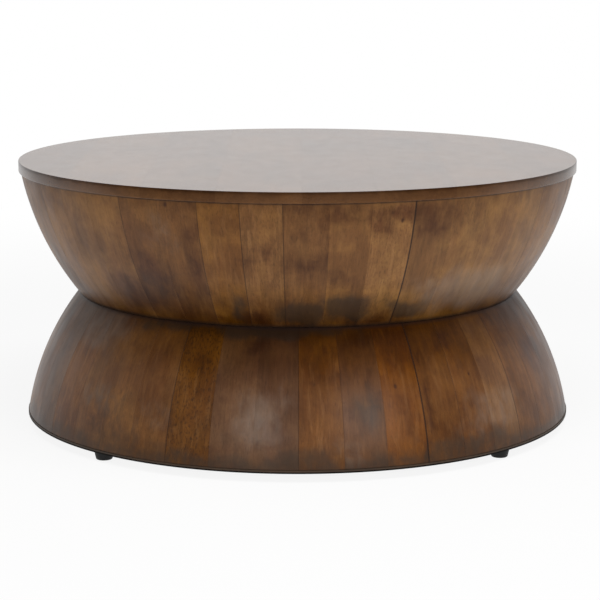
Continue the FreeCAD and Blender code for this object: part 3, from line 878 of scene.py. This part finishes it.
    def _patched(self, point: Vector, angle: float, share: float) -> list[float]:
        """How strongly each look of a patch shows at a point.

        Args:
            point: the point, from which the patches' outlines take their waviness.
            angle: its angle in degrees from the front.
            share: its share of the way from the waist to the bowl's far end.

        Returns:
            The strength of each look.
        """
        wave = noise.noise_vector(point / self.patch_wave)
        angle += 2.4 * wave.x
        share += 0.06 * wave.y
        shown = [0.0] * len(PatchLook)
        for patch in self.patches:
            shown[patch.stain.value] = max(shown[patch.stain.value], patch.weight(angle, share))
        return shown


@dataclass
class BoardTop:
    """The round top: boards glued edge to edge, cut round and eased at both arrises.

    Attributes:
        radius: its outer radius, in metres.
        low, high: its lower and upper level.
        width_shares: widths of the boards as shares of the mean, from -X to +X.
        marks: what sets the boards apart, from -X to +X.
    """

    radius: float
    low: float
    high: float
    width_shares: tuple[float, ...]
    marks: tuple[Mark, ...]
    arris: float = 1.0 * MM
    seam_ease: float = 0.06 * MM

    def build(self, finish: StainedHardwood) -> list[Object]:
        """Build the boards.

        Args:
            finish: the wood that they are of.

        Returns:
            The boards, from -X to +X.
        """
        material = finish.material()
        total = sum(self.width_shares)
        left = -self.radius
        boards = []
        for number, (share, mark) in enumerate(zip(self.width_shares, self.marks), start=1):
            right = left + 2 * self.radius * share / total
            boards.append(self._board(number, left, right, mark, material))
            left = right
        return boards

    def _board(self, number: int, left: float, right: float, mark: Mark, material: Material) -> Object:
        """Build one board out of the whole disc.

        Args:
            number: its number, from -X.
            left, right: where its long edges lie along X.
            mark: what sets it apart.
            material: the wood.

        Returns:
            The board.
        """
        shape = round_panel(self.radius, self.low, self.high, self.arris, 4)
        for place, outward in ((left, -1.0), (right, 1.0)):
            if abs(place) < self.radius - TOUCH:
                rim = saw(shape, (place, 0.0, 0.0), (outward, 0.0, 0.0))
                ease(shape, [edge for edge in rim if edge.is_valid
                             and all(abs(v.co.z - self.high) < TOUCH for v in edge.verts)],
                     self.seam_ease, 1)
        piece = finish_piece(shape, f"board_{number}", material, [f"top_board_{number}"])
        self._write_grain(piece, number, left, right, mark)
        return piece

    def _write_grain(self, piece: Object, number: int, left: float, right: float, mark: Mark) -> None:
        """Give each vertex its place in the wood, whose grain runs from front to back.

        Args:
            piece: the board.
            number: its number, from which its wood is taken out of a longer board.
            left, right: where its long edges lie along X.
            mark: what sets it apart.
        """
        start = Vector((0.53 * number, 1.31 * number, 0.0))
        middle, half = (left + right) / 2, (right - left) / 2
        write_vectors(piece, "grain", [start + Vector((v.co.x, v.co.y, v.co.z - self.high))
                                       for v in piece.data.vertices])
        sides = [(v.co.x - middle) / half for v in piece.data.vertices]
        write_vectors(piece, "place", [(side, self._wear(v.co), 0.0)
                                       for side, v in zip(sides, piece.data.vertices)])
        write_marks(piece, mark, sides, start + Vector((0.0, -5.0, 1.0)), [(0.0, 0.0, 0.0)] * len(sides))

    def _wear(self, point: Vector) -> float:
        """Where a point lies for the stain's run.

        Args:
            point: a point of the top.

        Returns:
            One on the faces, zero at the upper arris and a half on the edge below it.
        """
        if point.xy.length < self.radius - 0.99 * self.arris:
            return 1.0
        return 0.0 if self.high - point.z < 1.01 * self.arris else 0.5


@dataclass
class BasePanel:
    """The thin stained panel that closes the lower bowl; its rim shows as a dark lip over painted shade.
    """

    node: str = "base_panel"
    ease: float = 0.4 * MM

    def build(self, finish: PlainWood) -> Object:
        """Build the panel out of a disc.

        Args:
            finish: the wood that it is of.

        Returns:
            The panel.
        """
        low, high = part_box(self.node)
        shape = round_panel(high.x, low.z, high.z, self.ease, 2)
        return finish_piece(shape, "base_disc", finish.material(), [self.node])


@dataclass
class Foot:
    """A tapered rubber bumper with a rounded tread and a recess for its screw.

    Attributes:
        node: the CAD node that it stands for.
        wide, narrow: its radius under the table and at the floor.
        tread_round, recess_round: how much its tread's edge and its recess's edges are rounded.
        recess: radius and depth of the recess in its tread.
        bore: radius of the hole for the screw.
    """

    node: str
    wide: float = 15.5 * MM
    narrow: float = 12.5 * MM
    tread_round: float = 1.8 * MM
    recess: tuple[float, float] = (7.0 * MM, 7.0 * MM)
    recess_round: float = 0.5 * MM
    bore: float = 2.1 * MM
    sides: int = 64

    def build(self, material: Material) -> Object:
        """Turn the foot about its own upright axis.

        Args:
            material: the rubber.

        Returns:
            The foot.
        """
        low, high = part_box(self.node)
        centre = Vector(((low.x + high.x) / 2, (low.y + high.y) / 2, 0.0))
        shape = bmesh.new()
        outline = [(self.recess[0], 0.0), (self.narrow, 0.0), (self.wide, high.z),
                   (self.bore, high.z), (self.bore, self.recess[1]), (self.recess[0], self.recess[1])]
        corners = [shape.verts.new((reach, 0.0, level)) for reach, level in outline]
        bmesh.ops.contextual_create(shape, geom=corners)
        ease(shape, [corners[1]], self.tread_round, 6, "VERTICES")
        ease(shape, [vert for vert in (corners[0], corners[5]) if vert.is_valid], self.recess_round, 2,
             "VERTICES")
        bmesh.ops.delete(shape, geom=shape.faces[:], context="FACES_ONLY")
        bmesh.ops.spin(shape, geom=shape.verts[:] + shape.edges[:], axis=UP, cent=(0, 0, 0),
                       angle=math.tau, steps=self.sides, use_merge=True)
        bmesh.ops.translate(shape, verts=shape.verts, vec=centre)
        return finish_piece(shape, self.node.replace("foot", "bumper"), material,
                            [self.node], sharp=40.0)


# Finishes of the pieces that keep their solids, each with the nodes that take it
FITTINGS = (
    (PlainWood("birch plywood, bare", "#d9bd8c", "#b08f60", 0.62, ply_mm=1.5),
     ("rim_ring", "upper_waist_ring", "lower_waist_ring", "base_ring")),
    (PlainWood("rubberwood, sanded", "#c39b6b", "#94683f", 0.6), ("front_cleat", "back_cleat")),
    (ZincPlatedSteel(), ("waist_bolts", "waist_washers", "waist_nuts", "top_screws", "base_screws",
                         "cleat_screws", "foot_washers", "foot_screws")),
)


def dress(nodes: dict[str, Object]) -> int:
    """Give the pieces inside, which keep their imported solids, real finishes.

    Args:
        nodes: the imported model's nodes, by name.

    Returns:
        How many nodes were dressed.
    """
    for finish, names in FITTINGS:
        material = finish.material()
        for name in names:
            nodes[name].data.materials.clear()
            nodes[name].data.materials.append(material)
    return sum(len(names) for _, names in FITTINGS)


@dataclass
class Studio:
    """A white paper sweep under and behind the table, soft lamps, and a dim room in front.

    Attributes:
        distance, height, pitch, lens, shift: where the camera stands and how it looks.
        floor_size: side of the floor, in metres.
        sky: strength of the even light from all round.
        room: how bright the room in front of the sweep is in the lacquer, where 1 is white.
        paper: how much of the floor's white is its own, near the table and far from it.
    """

    distance: float = 3.336
    height: float = 0.812
    pitch: float = 10.557
    lens: float = 121.7
    shift: float = 0.0042
    floor_size: float = 30.0
    sky: float = 0.42
    room: float = 0.2
    paper: tuple[float, float] = (0.88, 1.0)

    def build(self) -> None:
        """Build the floor, the world, the lamps and the camera."""
        self._floor()
        self._world()
        self._lamp("overhead softbox", (0.4, -1.1, 3.0), (0.2, -0.5, 0.3), 2.4, 0.8, 58.0, False)
        self._lamp("front right softbox", (1.9, -3.6, 1.7), (0.0, 0.0, 0.25), 1.0, 1.2, 34.0)
        self._lamp("front left softbox", (-1.3, -4.2, 1.3), (0.0, 0.0, 0.25), 0.9, 1.1, 20.0)
        self._lamp("low fill", (0.7, -4.0, 0.35), (0.0, 0.0, 0.25), 2.4, 0.5, 28.0, False)
        self._camera()
        bpy.context.scene.view_settings.view_transform = "Standard"

    def _seen(self, tree: NodeTree, depth: NodeSocket, near: float,
              far: float) -> tuple[NodeSocket, NodeSocket]:
        """Where white is seen, and how bright it is there.

        Args:
            tree: the node tree that gets the nodes.
            depth: how far the place lies behind the table, which is less than zero in front.
            near, far: the depths at which the dim room ends and the white sweep begins.

        Returns:
            One for a ray from the camera, a reflection or glass, and the brightness that it meets.
        """
        path = add(tree, "LightPath").outputs
        first = maths(tree, "MAXIMUM", path["Is Camera Ray"], path["Is Glossy Ray"])
        seen = maths(tree, "MAXIMUM", first, path["Is Transmission Ray"])
        room = rescale(tree, depth, (near, far), (self.room, 1.0))
        return seen, maths(tree, "MAXIMUM", path["Is Camera Ray"], room)

    def _floor(self) -> None:
        """Lay a pale floor that keeps the table's shadow but is seen white."""
        shape = bmesh.new()
        bmesh.ops.create_grid(shape, x_segments=2, y_segments=2, size=self.floor_size / 2)
        mesh = bpy.data.meshes.new("floor")
        shape.to_mesh(mesh)
        shape.free()
        floor = new_object("floor", mesh)
        paper = bpy.data.materials.new("matt white paper")
        tree = new_tree(paper)
        place = add(tree, "TexCoord").outputs["Object"]
        seen, bright = self._seen(tree, split(tree, place)[1], -1.5, -0.4)
        white = rescale(tree, weighted_length(tree, place, (1.0, 1.0, 1.0)), (0.9, 2.6), self.paper,
                        "SMOOTHSTEP")
        share = maths(tree, "MULTIPLY", seen, white)
        matt = add(tree, "BsdfDiffuse", {"Color": linear("#e6e6e6")})
        glow = add(tree, "Emission", {"Color": linear("#ffffff"), "Strength": bright})
        both = add(tree, "MixShader", {0: share, 1: matt.outputs[0], 2: glow.outputs[0]})
        add(tree, "OutputMaterial", {"Surface": both.outputs[0]})
        mesh.materials.append(paper)

    def _world(self) -> None:
        """Light from all round, seen as the white sweep or, in the lacquer, the dim room."""
        world = bpy.data.worlds.new("studio")
        bpy.context.scene.world = world
        tree = new_tree(world)
        direction = add(tree, "TexCoord").outputs["Generated"]
        seen, bright = self._seen(tree, split(tree, direction)[1], -0.4, 0.3)
        strength = add(tree, "Mix", {"Factor": seen, "A": self.sky, "B": bright},
                       data_type="FLOAT").outputs[0]
        sky = add(tree, "Background", {"Color": linear("#ffffff"), "Strength": strength})
        add(tree, "OutputWorld", {"Surface": sky.outputs[0]})

    def _lamp(self, name: str, place: Sequence[float], target: Sequence[float], width: float,
              height: float, power: float, mirrored: bool = True) -> None:
        """Hang a softbox.

        Args:
            name: the lamp's name.
            place: where it hangs.
            target: the point that it faces.
            width, height: its size.
            power: its power in watts.
            mirrored: whether the lacquer shows its reflection.
        """
        data = bpy.data.lights.new(name, "AREA")
        data.shape = "RECTANGLE"
        data.size = width
        data.size_y = height
        data.energy = power
        lamp = new_object(name, data)
        lamp.location = place
        lamp.visible_glossy = mirrored
        lamp.rotation_euler = (Vector(target) - Vector(place)).to_track_quat("-Z", "Y").to_euler()

    def _camera(self) -> None:
        """Stand the camera in front of the table, looking a little down."""
        data = bpy.data.cameras.new("camera")
        data.sensor_width = 36.0
        data.lens = self.lens
        data.shift_x = self.shift
        data.clip_end = 60.0
        camera = new_object("camera", data)
        camera.location = (0.0, -self.distance, self.height)
        camera.rotation_euler = (math.radians(90.0 - self.pitch), 0.0, 0.0)
        bpy.context.scene.camera = camera


def patches_of(rows: dict[PatchLook, Sequence[tuple[float, ...]]]) -> tuple[Patch, ...]:
    """Make the patches of a table that lists each look's own."""
    return tuple(Patch(stain, *row) for stain, listed in rows.items() for row in listed)


# The numbers of a mark: tone, bloom, left and right seam, speckle, and the knot
UPPER_MARKS = {
    36: Mark(Tone.TAN, 0.3, (0.1, 0.1)),
    37: Mark(Tone.TAN, 0.3, (0.1, 0.05)),
    38: Mark(Tone.TAN, 0.3, (0.05, 0.5)),
    39: Mark(Tone.CHESTNUT, 0.2, (0.5, 0.05)),
    40: Mark(Tone.WALNUT, 0.4, (0.1, 0.5), 0.2, (-17.0, 212.0, 2.6)),
    41: Mark(Tone.AMBER, 0.5, (0.5, 0.6), 0.2),
    42: Mark(Tone.TAN, 0.9, (0.6, 0.6), 0.3),
    1: Mark(Tone.CHESTNUT, 0.4, (0.6, 0.1), 0.2),
    2: Mark(Tone.TAN, 0.3, (0.1, 0.2)),
    3: Mark(Tone.HONEY, 0.9, (0.2, 1.0), 0.4, (14.0, 188.0, 2.2)),
    4: Mark(Tone.FAWN, 0.3, (1.0, 0.1)),
    5: Mark(Tone.FAWN, 0.5, (0.1, 0.1), 0.2),
    6: Mark(Tone.FAWN, 0.4, (0.1, 0.1)),
    7: Mark(Tone.FAWN, 0.5, (0.1, 0.1)),
}
LOWER_MARKS = {
    37: Mark(Tone.CHESTNUT, 0.3, (0.1, 0.1)),
    38: Mark(Tone.CHESTNUT, 0.2, (0.1, 0.1)),
    39: Mark(Tone.WALNUT, 0.3, (0.1, 0.6)),
    40: Mark(Tone.OCHRE, 0.4, (0.6, 0.25), 0.9),
    41: Mark(Tone.SMOKE, 0.1, (0.2, 0.1), 0.2),
    42: Mark(Tone.SMOKE, 0.1, (0.1, 0.5), 0.1),
    1: Mark(Tone.COPPER, 0.4, (0.5, 0.35)),
    2: Mark(Tone.UMBER, 0.2, (0.35, 0.1)),
    3: Mark(Tone.RUSSET, 0.3, (0.1, 1.0), 0.15, (-8.0, 124.0, 2.4)),
    4: Mark(Tone.COPPER, 0.25, (1.0, 0.4)),
    5: Mark(Tone.COPPER, 0.25, (0.4, 0.1), 0.2, (6.0, 128.0, 1.6)),
    6: Mark(Tone.CHESTNUT, 0.3, (0.1, 0.6)),
    7: Mark(Tone.COPPER, 0.3, (0.6, 0.1)),
}
BOARD_MARKS = (
    Mark(Tone.WALNUT, 0.1, (0.0, 0.1)),
    Mark(Tone.CHESTNUT, 0.2, (0.1, 0.0)),
    Mark(Tone.WALNUT, 0.2, (0.0, 0.1)),
    Mark(Tone.CHESTNUT, 0.1, (0.1, 0.1)),
    Mark(Tone.WALNUT, 0.1, (0.1, 0.0)),
    Mark(Tone.WALNUT, 0.2, (0.0, 0.1)),
    Mark(Tone.CHESTNUT, 0.1, (0.1, 0.1)),
    Mark(Tone.WALNUT, 0.1, (0.1, 0.0)),
)
# The numbers of a patch: angle, share, width, height and strength. One 400 wide goes all round.
# The pale patches in both tables are painted sheen: reflected light laid into the colour
UPPER_PATCHES = patches_of({
    PatchLook.SMUDGE_AND_SHADE: (
        (-12.9, 0.17, 1.5, 0.12, 0.9), (1.0, 0.12, 4.2, 0.09, 1.2), (9.0, 0.15, 12.0, 0.11, 0.5),
        (11.0, 0.16, 5.0, 0.1, 1.25), (25.0, 0.12, 4.4, 0.07, 1.1), (-32.0, 0.28, 4.6, 0.15, 0.45)),
    PatchLook.DEEP: (
        (-32.0, 0.4, 5.0, 0.2, 0.9), (-37.0, 0.24, 8.0, 0.16, 0.85), (-21.0, 0.6, 2.6, 0.3, 0.6),
        (-17.0, 0.05, 4.0, 0.06, 0.7), (-7.5, 0.6, 3.4, 0.08, 0.7), (8.0, 0.92, 4.0, 0.1, 0.8),
        (20.0, 0.92, 4.5, 0.07, 0.9), (28.0, 0.84, 6.5, 0.16, 0.72), (1.5, 0.55, 4.0, 0.08, 0.6),
        (9.0, 0.42, 4.0, 0.08, 0.5), (15.0, 0.05, 7.0, 0.05, 0.8), (50.0, 0.05, 5.0, 0.05, 0.6),
        (15.5, 0.88, 2.5, 0.12, 0.8), (-9.5, 0.09, 5.5, 0.08, 0.85), (0.0, 0.99, 400.0, 0.06, 0.35)),
    PatchLook.PAINTED_SHEEN: ((-28.0, 0.74, 5.0, 0.18, 0.35), (40.0, 0.24, 12.0, 0.16, 0.9)),
})
# Of the lower bowl's smudges, those at -5 and -31 degrees beside the waist are painted shade under the
# upper bowl
LOWER_PATCHES = patches_of({
    PatchLook.SMUDGE_AND_SHADE: (
        (14.2, 0.57, 2.8, 0.12, 0.75), (-42.0, 0.72, 7.5, 0.22, 0.52), (-28.0, 0.88, 4.0, 0.05, 0.6),
        (-39.0, 0.87, 7.0, 0.1, 0.6), (1.0, 0.93, 6.0, 0.08, 0.85), (-5.0, 0.0, 15.0, 0.062, 1.4),
        (-31.0, 0.03, 10.0, 0.05, 0.9), (0.0, 0.98, 400.0, 0.08, 0.8), (38.0, 0.89, 12.0, 0.07, 0.85)),
    PatchLook.DEEP: (
        (-44.0, 0.75, 4.0, 0.12, 0.7), (27.0, 0.6, 1.0, 0.36, 0.75), (7.5, 0.4, 3.5, 0.12, 0.5),
        (17.0, 0.42, 3.0, 0.14, 0.45), (34.0, 0.16, 5.0, 0.08, 0.7), (-10.0, 0.12, 4.0, 0.06, 0.7)),
    PatchLook.PAINTED_SHEEN: (
        (-7.0, 0.62, 5.4, 0.18, 0.62), (11.0, 0.86, 3.0, 0.09, 0.36), (-54.0, 0.1, 9.0, 0.16, 0.8),
        (44.0, 0.7, 8.0, 0.16, 0.55), (-47.0, 0.6, 7.0, 0.14, 0.36), (-30.0, 0.66, 4.5, 0.14, 0.36)),
})
# Widths as shares of the mean one, for half a bowl and for the top
UPPER_WIDTHS = (1.01, 0.93, 0.99, 1.02, 0.97, 0.93, 1.05, 0.99, 1.04, 1.06, 1.02, 1.07, 1.03, 1.03,
                1.03, 0.96, 1.01, 1.00, 0.96, 0.96, 0.94)
LOWER_WIDTHS = (1.03, 0.99, 0.99, 0.99, 0.93, 0.97, 0.98, 1.00, 1.04, 0.98, 1.03, 1.01, 1.04, 0.98,
                1.07, 0.98, 0.91, 0.98, 1.06, 1.02, 1.01)
BOARD_WIDTHS = (0.92, 1.06, 0.98, 1.10, 0.94, 1.04, 1.00, 0.96)

# The runs and joints of both bowls' finishes are partly painted shade; the lower bowl's deeper, more
# saturated run is mostly the painted shade under the upper bowl
SATIN = StainedHardwood(
    "mango wood staves, brown stain, satin lacquer", roughness=0.42, coat=0.08, coat_roughness=0.3,
    stain_and_shade_run=((0.0, 0.36), (0.05, 0.46), (0.12, 0.6), (0.2, 0.7), (0.28, 0.84), (0.38, 1.0), (0.72, 1.0),
         (0.93, 0.9), (1.0, 0.82)), stain_and_shade_depth=1.12)
DARK_SATIN = StainedHardwood(
    "mango wood staves, deep brown stain, satin lacquer", roughness=0.4, coat=0.08,
    coat_roughness=0.28, stain_and_shade_run=((0.0, 0.42), (0.05, 0.44), (0.12, 0.53), (0.22, 0.62), (0.36, 0.88),
                              (0.47, 1.0), (0.8, 1.0), (1.0, 0.85)),
    stain_and_shade_tint="#451f06", stain_and_shade_depth=1.22, joint_and_shade_tint="#221816",
    joint_and_contact_shade=((0.0, 0.8), (0.012, 0.5), (0.03, 0.0), (0.99, 0.0), (0.998, 0.25)))
GLOSS = StainedHardwood(
    "mango wood boards, brown stain, semi-gloss lacquer", roughness=0.24, coat=0.24,
    coat_roughness=0.14, specular=0.62, sheen_range=0.008, figure_mm=26.0, fibre_mm=3.0,
    blotch_mm=120.0, cloud_mm=160.0, seam_share=0.004, bump_mm=0.006, cloud=("#e6e0e0", "#ffffff"),
    stain_and_shade_run=((0.0, 0.22), (0.07, 0.36), (0.14, 0.5), (0.5, 0.7), (1.0, 0.75)),
    joint_and_contact_shade=((0.0, 0.0), (1.0, 0.0)))


def main() -> None:
    """Build the table's looks piece by piece, and log what was built."""
    logging.basicConfig(level=logging.INFO, format="%(name)s: %(message)s")
    # Blender seeds its noise from the clock unless it is given a number.
    noise.seed_set(NOISE_SEED)
    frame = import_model()

    panel_low, panel_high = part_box("base_panel")
    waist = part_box("upper_waist_ring")[0].z
    board_low, board_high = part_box("top_board_8")
    upper = Bowl("upper", (waist, 361.0 * MM), (board_low.z, 453.5 * MM), bulge=13.5 * MM,
                 wall=24.0 * MM, first_seam=-2.7, width_shares=UPPER_WIDTHS, marks=UPPER_MARKS,
                 patches=UPPER_PATCHES, waist_below=True, seed=7, end_ease=1.6 * MM,
                 shades=(Tone.TAN, Tone.AMBER, Tone.CHESTNUT, Tone.WALNUT, Tone.CHESTNUT))
    lower = Bowl("lower", (panel_high.z, 449.0 * MM), (waist, 360.0 * MM), bulge=14.0 * MM,
                 wall=24.0 * MM, first_seam=0.2, width_shares=LOWER_WIDTHS, marks=LOWER_MARKS,
                 patches=LOWER_PATCHES, waist_below=False, seed=11,
                 shades=(Tone.COPPER, Tone.OCHRE, Tone.COPPER, Tone.SMOKE, Tone.CHESTNUT))
    for bowl, finish in ((upper, SATIN), (lower, DARK_SATIN)):
        LOG.info("%s bowl: %d staves", bowl.name, len(bowl.build(finish)))
    top = BoardTop(board_high.x, board_low.z, board_high.z, BOARD_WIDTHS, BOARD_MARKS)
    LOG.info("top: %d boards", len(top.build(GLOSS)))

    # The nearly black lower edge of the panel's rim is painted shade
    BasePanel().build(PlainWood("plywood panel, dark brown stain", "#3c2b1b", "#2c1f13", 0.62,
                                rim=(panel_high.x - 0.6 * MM, panel_low.z + 2.6 * MM)))
    rubber = MouldedRubber().material()
    for name in ("foot_front_right", "foot_back_right", "foot_back_left", "foot_front_left"):
        Foot(name).build(rubber)
    LOG.info("base panel and feet")
    LOG.info("inside: %d nodes dressed", dress(frame["nodes"]))
    Studio().build()


if __name__ == "__main__":
    main()
